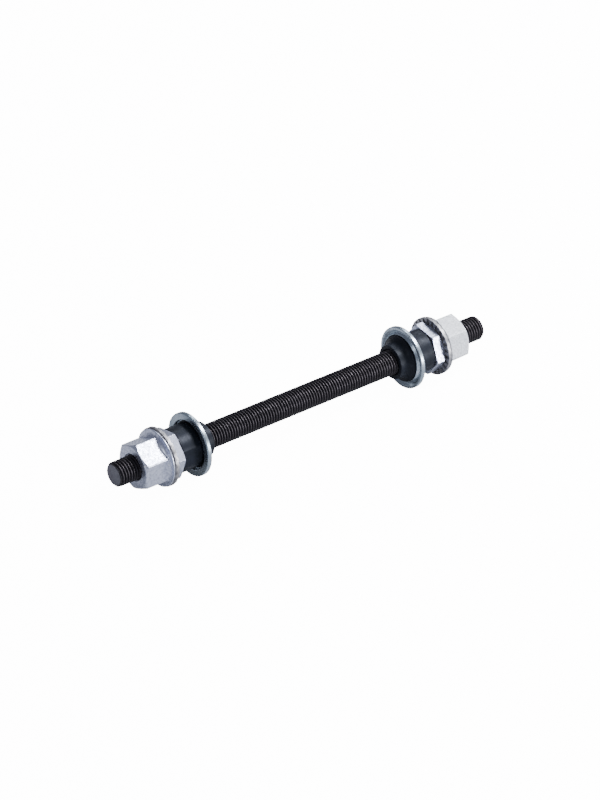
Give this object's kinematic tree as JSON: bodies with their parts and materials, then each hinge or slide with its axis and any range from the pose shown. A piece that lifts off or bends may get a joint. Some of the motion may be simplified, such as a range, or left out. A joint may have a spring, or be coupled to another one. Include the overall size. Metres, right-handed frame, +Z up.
{
  "type": "bicycle hub axle set",
  "caption": "Threaded front hub axle with bearing cones, pressed dust caps, locknuts, serrated washers and flanged axle nuts at both ends.",
  "frame": {"origin": "middle of the rod, on its axis", "axes": "+X along the rod towards the right end, +Z up, -Y towards the viewer of the picture"},
  "size_m": [0.14, 0.02, 0.02],
  "materials": {
    "black_thread": "black oxide, fine thread",
    "black_steel": "black oxide, ground",
    "zinc_cap": "bright zinc plate",
    "zinc_nut": "satin zinc plate",
    "dull_zinc": "dull zinc plate"
  },
  "bodies": {
    "axle": {"axle": "black_thread"},
    "left_cone": {"left_cone": "black_steel", "left_dust_cap": "zinc_cap"},
    "left_locknut": {"left_locknut": "zinc_nut"},
    "left_washer": {"left_washer": "dull_zinc"},
    "left_axle_nut": {"left_axle_nut": "zinc_nut"},
    "right_cone": {"right_cone": "black_steel", "right_dust_cap": "zinc_cap"},
    "right_locknut": {"right_locknut": "zinc_nut"},
    "right_washer": {"right_washer": "dull_zinc"},
    "right_axle_nut": {"right_axle_nut": "zinc_nut"}
  },
  "joints": [
    {"name": "left_cone_adjust", "type": "slide", "parent": "axle", "child": "left_cone", "axis": [-1, 0, 0], "range_m": [-0.004, 0.001]},
    {"name": "left_locknut_turn", "type": "hinge", "parent": "left_cone", "child": "left_locknut", "pos_m": [-0.0493, 0, 0], "axis": [-1, 0, 0], "range_deg": [0, 90]},
    {"name": "left_washer_travel", "type": "slide", "parent": "left_cone", "child": "left_washer", "axis": [-1, 0, 0], "range_m": [0, 0.00488]},
    {"name": "left_axle_nut_turn", "type": "hinge", "parent": "left_washer", "child": "left_axle_nut", "pos_m": [-0.0527, 0, 0], "axis": [-1, 0, 0], "range_deg": [0, 1800]},
    {"name": "right_cone_adjust", "type": "slide", "parent": "axle", "child": "right_cone", "axis": [1, 0, 0], "range_m": [-0.004, 0.003]},
    {"name": "right_locknut_turn", "type": "hinge", "parent": "right_cone", "child": "right_locknut", "pos_m": [0.0474, 0, 0], "axis": [1, 0, 0], "range_deg": [0, 90]},
    {"name": "right_washer_travel", "type": "slide", "parent": "right_cone", "child": "right_washer", "axis": [1, 0, 0], "range_m": [0, 0.00488]},
    {"name": "right_axle_nut_turn", "type": "hinge", "parent": "right_washer", "child": "right_axle_nut", "pos_m": [0.0508, 0, 0], "axis": [1, 0, 0], "range_deg": [0, 1800]}
  ],
  "couplings": [
    {"joint": "left_washer_travel", "follows": "left_axle_nut_turn", "m_per_rad": 0.00015548},
    {"joint": "right_washer_travel", "follows": "right_axle_nut_turn", "m_per_rad": 0.00015548}
  ]
}
